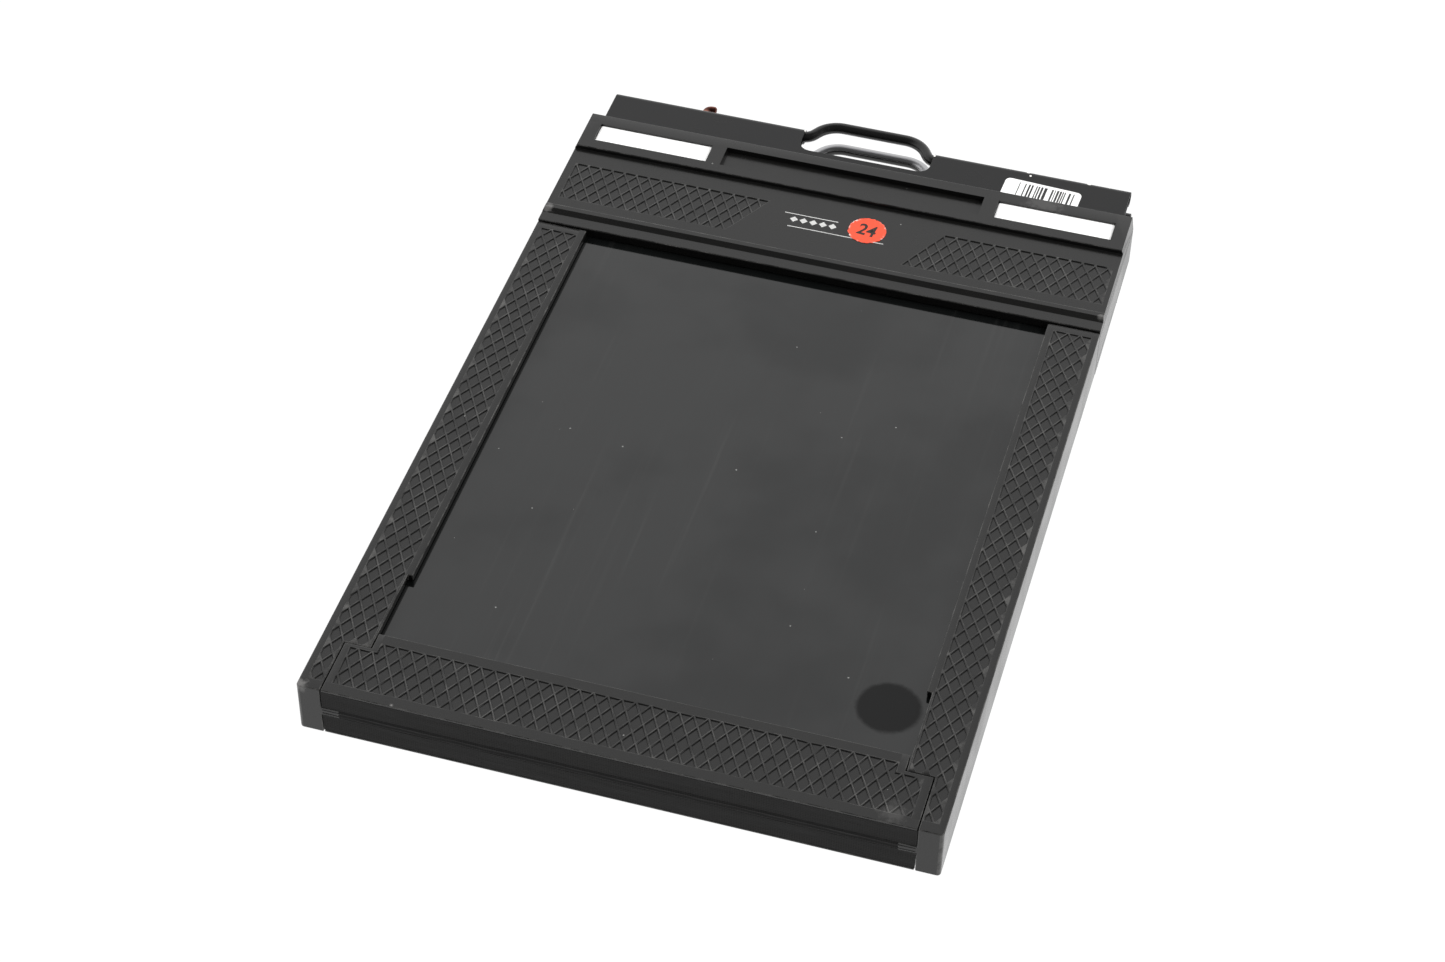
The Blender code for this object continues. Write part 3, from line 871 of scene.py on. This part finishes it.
def cover_section():
    """The end cover's (y, level) section: strip, lock rib with a sloping face, shoulder and grip bar."""
    edge, foot = 0.22, 0.12
    slope = 1.1
    lip = BAR_LEVEL - edge
    section = [(BLOCK_START, SLOT_ROOF)]
    section += arc((BLOCK_START + edge, STRIP_LEVEL - edge), edge, 180, 90, 3)
    section += [(RIB_TOP - slope - 0.02, STRIP_LEVEL), (RIB_TOP - slope + 0.02, STRIP_LEVEL + 0.015)]
    section += [(RIB_TOP - 0.02, RIB_LEVEL - 0.015), (RIB_TOP + 0.05, RIB_LEVEL + 0.01)]
    section += [(RIB_END - 0.1, RIB_LEVEL)]
    section += [(RIB_END, SHOULDER_LEVEL)]
    section += arc((BAR_START - foot, SHOULDER_LEVEL + foot), foot, -90, -12, 6)
    section += arc((BAR_START + edge, lip), edge, 180, 90, 3)
    section += arc((BLOCK_END - edge, lip), edge, 90, 0, 3)
    section += [(BLOCK_END, SLOT_ROOF)]
    return section


class FILMHOLDER_OT_end_covers(bpy.types.Operator):
    """End covers: lock rib, textured shoulder and the grip bar with its pockets"""

    bl_idname = "filmholder.end_covers"
    bl_label = "End covers"

    def execute(self, context):
        settings = context.scene.film_holder
        for side, half in HALVES.items():
            bm = prism(cover_section(), HALF_WIDTH)
            for vert in bm.verts:
                inset = 0.0
                if vert.co.z > SHOULDER_LEVEL - 0.02:
                    inset = SHOULDER_INSET
                if vert.co.y > BAR_START - 0.05 and vert.co.z > SHOULDER_LEVEL + 0.3:
                    inset = BAR_INSET
                vert.co.x -= math.copysign(inset, vert.co.x)
            soften(bm, 0.16, pick=lambda e: all(abs(v.co.x) > HALF_WIDTH - 1 for v in e.verts))
            left = [(-58.4, 145.0), (-21.5, 145.0), (-15.0, 157.1), (-58.4, 157.1)]
            right = [(16.4, 145.0), (59.1, 145.0), (59.1, 157.1), (23.1, 157.1)]
            lattice(bm, SHOULDER_LEVEL, [left, right], settings)
            for x in (-WRITE_ON_X, WRITE_ON_X):
                sink(bm, BAR_LEVEL, about(x, WRITE_ON_Y, WRITE_ON_SIZE), POCKET_DEPTH)
            sink(bm, BAR_LEVEL, about(0, WRITE_ON_Y, CENTRE_POCKET_SIZE), CENTRE_POCKET_DEPTH)
            make_piece(
                f"moulded_cover_{side}", bm, half, "frame", frame_plastic(),
                [f"end_cover_{side}"],
            )
        return {"FINISHED"}


class FILMHOLDER_OT_core(bpy.types.Operator):
    """End core, septum and the light traps inside"""

    bl_idname = "filmholder.core"
    bl_label = "Core, septum and light traps"

    def execute(self, context):
        bm = cad_copy("end_core", FRONT)
        soften(bm, 0.15)
        make_piece("moulded_core", bm, FRONT, "frame", frame_plastic(), ["end_core"])
        dress("septum", plain_metal("septum_metal", (0.06, 0.06, 0.062), (0.1, 0.1, 0.105), 0.4))
        velvet = cloth("velvet_pile", (0.004, 0.004, 0.004), (0.015, 0.015, 0.015), 1400.0)
        bronze = plain_metal("spring_bronze", (0.3, 0.17, 0.08), (0.6, 0.38, 0.2), 0.3)
        for side in HALVES:
            dress(f"trap_pile_{side}", velvet)
            dress(f"trap_spring_{side}", bronze)
        return {"FINISHED"}


class FILMHOLDER_OT_slides(bpy.types.Operator):
    """Dark slides: satin sheets and folded, enamelled hems"""

    bl_idname = "filmholder.slides"
    bl_label = "Dark slides"

    def execute(self, context):
        color = context.scene.film_holder.slide
        far, level = HEM_HIGH.y, HEM_HIGH.z
        chips = (
            ((35.0, far - 0.75, level - 0.3), 0.42),
            ((35.7, far - 2.0, level), 0.27),
            ((48.3, far - 0.75, level - 0.3), 0.5),
            ((52.8, far - 0.7, level - 0.3), 0.25),
            ((-14.8, far - 1.2, level - 0.1), 0.35),
            ((14.2, far - 1.4, level - 0.2), 0.45),
        )
        for side, half in HALVES.items():
            bm = cad_copy(f"slide_{side}_sheet", half)
            soften(bm, 0.1)
            sheet = slide_sheet(f"slide_sheet_{side}", color, side == "front")
            make_piece(
                f"satin_sheet_{side}", bm, half, f"{side}_slide", sheet,
                [f"slide_{side}_sheet"],
            )
            bm = cad_copy(f"slide_{side}_hem", half)
            soften(bm, 0.06, sharper=50)
            enamel = hem_enamel(f"hem_enamel_{side}", chips if side == "front" else chips[:2])
            make_piece(
                f"folded_hem_{side}", bm, half, f"{side}_slide", enamel,
                [f"slide_{side}_hem"],
            )
        return {"FINISHED"}


class FILMHOLDER_OT_bails(bpy.types.Operator):
    """Wire bails that pull the slides"""

    bl_idname = "filmholder.bails"
    bl_label = "Wire bails"

    def execute(self, context):
        radius = (BAIL_HIGH.z - BAIL_LOW.z) / 2
        level = (BAIL_HIGH.z + BAIL_LOW.z) / 2
        middle = (BAIL_HIGH.x + BAIL_LOW.x) / 2
        foot_half = (BAIL_HIGH.x - BAIL_LOW.x) / 2
        top, foot = BAIL_HIGH.y - radius, BAIL_LOW.y + radius
        right = [(10.3, top, level), (13.6, foot, level), (foot_half, foot, level)]
        corners = [(middle - x, y, z) for x, y, z in reversed(right)]
        corners += [(middle + x, y, z) for x, y, z in right]
        for side, half in HALVES.items():
            bm = wire(bent_path(corners, (3.0, 6.0, 6.0, 3.0)), radius)
            make_piece(
                f"wire_bail_{side}", bm, half, f"{side}_slide",
                bail_wire(f"bail_wire_{side}", half), [f"slide_{side}_bail"], 60,
            )
        return {"FINISHED"}


class FILMHOLDER_OT_latches(bpy.types.Operator):
    """Bent wire latches at the end of the block"""

    bl_idname = "filmholder.latches"
    bl_label = "Wire latches"

    def execute(self, context):
        copper = plain_metal("latch_wire", (0.16, 0.06, 0.045), (0.45, 0.2, 0.15), 0.35)
        for side, half in (("left", FRONT), ("right", REAR)):
            low, high = in_half(f"latch_{side}", half)
            radius = (high.z - low.z) / 2
            x, end = low.x + radius, high.y - radius
            corners = [(x, low.y, 0), (x, end, 0), (high.x, end, 0)]
            bm = wire(bent_path(corners, (1.2,)), radius)
            make_piece(
                f"wire_latch_{side}", bm, half, f"{side}_latch", copper,
                [f"latch_{side}"], 60,
            )
        return {"FINISHED"}


class FILMHOLDER_OT_write_on_strips(bpy.types.Operator):
    """White writing strips in the grip bars"""

    bl_idname = "filmholder.write_on_strips"
    bl_label = "Write-on strips"

    def execute(self, context):
        white = paper("write_on_white", (0.9, 0.9, 0.89), (0.8, 0.79, 0.77))
        clear = 0.08
        width, depth = WRITE_ON_SIZE[0] / 2 - clear, WRITE_ON_SIZE[1] / 2 - clear
        for side, half in HALVES.items():
            for place, x in (("left", -WRITE_ON_X), ("right", WRITE_ON_X)):
                low = (x - width, WRITE_ON_Y - depth, BAR_LEVEL - POCKET_DEPTH + 0.02)
                high = (x + width, WRITE_ON_Y + depth, BAR_LEVEL - 0.5)
                bm = block(low, high, corner=0.35, edge=0.08)
                name = f"write_on_strip_{side}_{place}"
                make_piece(f"white_{name}", bm, half, "frame", white, [name])
        return {"FINISHED"}


# Plain bars on the paper label: the width of each and the gap after it, and how much wider it prints
LABEL_BARS = (
    (0.15, 1.15), (0.2, 0.6), (0.3, 0.35), (0.3, 0.7), (0.2, 0.3), (0.25, 0.35), (0.35, 0.4), (0.5, 1.1),
    (0.3, 0.35), (0.15, 0.35), (0.35, 0.3), (0.3, 0.25), (0.2, 0.25), (0.2, 0.75), (0.35, 0.6), (0.2, 0.0),
)
PRINT_SPREAD = 1.25


class FILMHOLDER_OT_stickers(bpy.types.Operator):
    """Number dot and printed lines on the shoulder, and the paper label on the hem"""

    bl_idname = "filmholder.stickers"
    bl_label = "Stickers and print"

    def execute(self, context):
        settings = context.scene.film_holder
        self.dot(settings)
        self.label()
        self.printed_line()
        return {"FINISHED"}

    def dot(self, settings):
        """The round sticker, with an uneven rim and a printed number."""
        radius = (DOT_HIGH.x - DOT_LOW.x) / 2
        centre = Vector(((DOT_LOW.x + DOT_HIGH.x) / 2, (DOT_LOW.y + DOT_HIGH.y) / 2, SHOULDER_LEVEL))
        thick, nick_depth = 0.09, 0.09
        bm = bmesh.new()
        place = Matrix.Translation(centre + Vector((0, 0, thick / 2 + 0.01)))
        bmesh.ops.create_cone(
            bm, cap_ends=True, segments=96, radius1=radius, radius2=radius, depth=thick, matrix=place
        )
        for vert in bm.verts:
            away = (vert.co - centre).xy
            nick = noise.noise(Vector((away.x, away.y, 3.0)) * 1.6) * nick_depth
            vert.co.xy = centre.xy + away * (1 - abs(nick))
        orange = paper(
            "number_dot", settings.dot, [c * 0.75 for c in settings.dot], 0.55, rim=(centre, radius)
        )
        make_piece("orange_dot", bm, FRONT, "frame", orange, ["number_dot"])
        text = bpy.data.curves.new("number", "FONT")
        text.body = settings.number
        text.size = 4.9
        text.offset = 0.1
        text.extrude = 0.012
        text.align_x, text.align_y = "CENTER", "CENTER"
        bm = from_curve(text)
        place = Matrix.Translation(centre + Vector((0, -0.1, thick + 0.02)))
        turn = Matrix.Rotation(math.radians(-7), 4, "Z")
        narrow = Matrix.Diagonal((0.82, 1, 1, 1))
        move(bm, place @ turn @ narrow)
        black = ink("dot_ink", (0.02, 0.012, 0.01))
        make_piece("dot_number", bm, FRONT, "frame", black)

    def label(self):
        """The white label with a row of plain bars."""
        x, y = (LABEL_LOW.x + LABEL_HIGH.x) / 2, (LABEL_LOW.y + LABEL_HIGH.y) / 2
        floor = HEM_HIGH.z + 0.01
        turn = Matrix.Translation((x, y, floor)) @ Matrix.Rotation(math.radians(-3), 4, "Z")
        bm = block((-8.4, -3.9, 0), (8.4, 3.9, 0.1), corner=1.2, edge=0.03)
        move(bm, turn)
        white = paper("label_paper", (0.88, 0.88, 0.87), (0.75, 0.74, 0.72))
        make_piece("white_label", bm, FRONT, "front_slide", white, ["paper_label"])
        bars = bmesh.new()
        left, bar_length, bar_thick = -5.2, 5.4, 0.015
        for width, gap in LABEL_BARS:
            place = Matrix.Translation((left + width / 2, 0.35, 0.11))
            add_box(bars, place, (width * PRINT_SPREAD, bar_length, bar_thick))
            left += width + gap
        move(bars, turn)
        black = ink("bar_ink", (0.02, 0.02, 0.02))
        make_piece("label_bars", bars, FRONT, "front_slide", black)

    def printed_line(self):
        """Two plain silver lines with five small diamonds between them, printed beside the dot."""
        bm = bmesh.new()
        level = SHOULDER_LEVEL + 0.014
        line_width, thick, diamond = 0.22, 0.012, 1.25
        for low_x, high_x, y in ((-11.0, 0.6, 154.4), (-9.4, 11.4, 150.3)):
            place = Matrix.Translation(((low_x + high_x) / 2, y, level))
            add_box(bm, place, (high_x - low_x, line_width, thick))
        turn = Matrix.Rotation(math.radians(45), 4, "Z")
        for n in range(5):
            place = Matrix.Translation((-8.6 + 2.1 * n, 152.7, level))
            add_box(bm, place @ turn, (diamond, diamond, thick))
        silver = ink("silver_ink", (0.55, 0.55, 0.54), 0.45)
        make_piece("printed_line", bm, FRONT, "frame", silver)


# The cloth strips. The spine stands proud along its middle only, so that open flaps' tapes clear it
TAPE_HALF_LENGTH = in_half("hinge_tape_front")[1].x
TAPE_LEVEL, TAPE_OVERHANG = 0.92, 0.1
SPINE_HALF_HEIGHT, SPINE_PROUD_HALF_HEIGHT, SPINE_PROUD = 0.85, 0.6, 0.15


class FILMHOLDER_OT_hinge_cloth(bpy.types.Operator):
    """Book-cloth tape on the flaps and along the middle of the near end"""

    bl_idname = "filmholder.hinge_cloth"
    bl_label = "Hinge cloth"

    def execute(self, context):
        black = cloth("hinge_cloth", (0.003, 0.003, 0.003), (0.02, 0.0195, 0.019))
        tapes = (
            ("hinge_tape_front", FRONT, "front_flap"),
            ("hinge_tape_rear", REAR, "rear_flap"),
            ("hinge_tape_spine", FRONT, "frame"),
        )
        for node, half, body in tapes:
            spine = body == "frame"
            low, high = self.limits(node, half, spine)
            bm = block(low, high)
            self.divide(bm, 0, 50, 90)
            self.divide(bm, 2, (high.z - low.z) / 2, 9)
            self.rumple(bm, (low.y + high.y) / 2, spine)
            make_piece(f"cloth_{node}", bm, half, body, black, [node], 50)
        return {"FINISHED"}

    def limits(self, node, half, spine):
        """The corners of a strip. The spine is lengthened, and widened until it almost meets the tapes."""
        low, high = in_half(node, half)
        if spine:
            low.x, high.x = -TAPE_HALF_LENGTH, TAPE_HALF_LENGTH
            low.y -= SPINE_PROUD
            low.z, high.z = -SPINE_HALF_HEIGHT, SPINE_HALF_HEIGHT
        else:
            low.z = TAPE_LEVEL
            low.x, high.x = low.x - TAPE_OVERHANG, high.x + TAPE_OVERHANG
        return low, high

    def divide(self, bm, axis, longer, cuts):
        """Divide the edges that run along an axis and are longer than a length."""
        edges = [e for e in bm.edges if abs(e.verts[0].co[axis] - e.verts[1].co[axis]) > longer]
        bmesh.ops.subdivide_edges(bm, edges=edges, cuts=cuts, use_grid_fill=True)

    def rumple(self, bm, middle, spine):
        """Make the outer face of a strip uneven, and fold the spine in along its seam."""
        for vert in bm.verts:
            if vert.co.y >= middle:
                continue
            x, z = vert.co.x, vert.co.z
            vert.co.y += 0.07 * abs(noise.noise(Vector((x * 0.12, z * 0.9, 7.0))))
            if spine:
                seam = abs(z - 0.25 * noise.noise(Vector((x * 0.15, 0, 2.0))))
                groove = 0.16 if abs(x) < TAPE_HALF_LENGTH - 3.6 else 0.1
                vert.co.y += groove * max(0.0, 1 - seam / 0.4)
                if abs(z) > SPINE_PROUD_HALF_HEIGHT:
                    vert.co.y += SPINE_PROUD


class FILMHOLDER_OT_stage(bpy.types.Operator):
    """White light table, white surround, soft lights and the camera"""

    bl_idname = "filmholder.stage"
    bl_label = "Stage"

    def execute(self, context):
        stage = context.scene.film_holder_stage
        self.floor()
        self.surround(stage.surround)
        self.lights()
        data = bpy.data.cameras.new("camera")
        data.lens = stage.lens
        data.sensor_width = 36.0
        data.clip_start, data.clip_end = 0.01, 50
        camera = new_object("camera", data)
        camera.location = stage.camera_place
        camera.rotation_euler = stage.camera_turn
        context.scene.camera = camera
        context.scene.view_settings.view_transform = "Standard"
        return {"FINISHED"}

    def floor(self):
        """The light table. The holder lies on its rear bar and its near end, so it slopes a little."""
        near = FRONT @ Vector((0, 0, -RAIL_FACE))
        bar = FRONT @ Vector((0, BAR_START, -BAR_LEVEL))
        tilt = math.atan2(bar.z - near.z, bar.y - near.y)
        bm = bmesh.new()
        place = Matrix.Translation(near) @ Matrix.Rotation(tilt, 4, "X")
        bmesh.ops.create_grid(bm, x_segments=8, y_segments=8, size=3.0, matrix=place)
        mesh = bpy.data.meshes.new("floor")
        bm.to_mesh(mesh)
        bm.free()
        s = Surface("floor_light_table", specular=0.0)
        tone = s.w.noise(s.w.place(), 3.0, 2.0)
        white = s.w.mix(tone, (1, 1, 1, 1), (0.99, 0.99, 0.99, 1))
        s.w.feed(s.shader.inputs["Emission Color"], white)
        s.shader.inputs["Emission Strength"].default_value = 1.0
        s.shader.inputs["Base Color"].default_value = (0.04, 0.04, 0.04, 1)
        mesh.materials.append(s.material)
        new_object("floor", mesh)

    def surround(self, strength):
        """A white room that is darker high on the near right side."""
        world = bpy.data.worlds.new("white_room")
        bpy.context.scene.world = world
        world.use_nodes = True
        w = Wiring(world.node_tree)
        way = w.add("ShaderNodeTexCoord").outputs["Generated"]
        dark_way = Vector((0.35, -0.55, 0.75)).normalized()
        facing = w.add("ShaderNodeVectorMath", {0: way, 1: dark_way}, operation="DOT_PRODUCT")
        shade = w.ramp(facing.outputs["Value"], 0.2, 0.62)
        color = w.mix(shade, (1, 1, 1, 1), (0.1, 0.1, 0.1, 1))
        shader = world.node_tree.nodes["Background"]
        w.feed(shader.inputs["Color"], color)
        shader.inputs["Strength"].default_value = strength

    def lights(self):
        """Two large soft lights that don't show in reflections."""
        for name, place, size, power in (
            ("left_light", (-0.9, 0.3, 0.9), 1.0, 15.0),
            ("right_light", (0.95, 0.0, 0.7), 0.9, 15.0),
        ):
            data = bpy.data.lights.new(name, "AREA")
            data.size = size
            data.energy = power
            light = new_object(name, data)
            light.location = place
            light.visible_glossy = False
            light.rotation_euler = (-Vector(place)).to_track_quat("-Z", "Y").to_euler()


class FILMHOLDER_PT_panel(bpy.types.Panel):
    """The film holder's pieces and settings"""

    bl_idname = "FILMHOLDER_PT_panel"
    bl_label = "Film holder"
    bl_space_type = "VIEW_3D"
    bl_region_type = "UI"
    bl_category = "Film holder"

    def draw(self, context):
        layout = self.layout
        for operator in PIECES:
            layout.operator(operator.bl_idname)
        for group in (context.scene.film_holder, context.scene.film_holder_stage):
            for name in group.__annotations__:
                layout.prop(group, name)


PIECES = (
    FILMHOLDER_OT_rails,
    FILMHOLDER_OT_flaps,
    FILMHOLDER_OT_end_covers,
    FILMHOLDER_OT_core,
    FILMHOLDER_OT_slides,
    FILMHOLDER_OT_bails,
    FILMHOLDER_OT_latches,
    FILMHOLDER_OT_write_on_strips,
    FILMHOLDER_OT_stickers,
    FILMHOLDER_OT_hinge_cloth,
    FILMHOLDER_OT_stage,
)
CLASSES = (FilmHolderSettings, FilmHolderStage, *PIECES, FILMHOLDER_PT_panel)


def register():
    """Add the classes and settings."""
    for item in CLASSES:
        bpy.utils.register_class(item)
    bpy.types.Scene.film_holder = PointerProperty(type=FilmHolderSettings)
    bpy.types.Scene.film_holder_stage = PointerProperty(type=FilmHolderStage)


def unregister():
    """Remove the classes and settings."""
    del bpy.types.Scene.film_holder_stage
    del bpy.types.Scene.film_holder
    for item in reversed(CLASSES):
        bpy.utils.unregister_class(item)


def main():
    """Build every piece."""
    register()
    for piece in PIECES:
        getattr(bpy.ops.filmholder, piece.bl_idname.split(".")[1])()


if __name__ == "__main__":
    main()
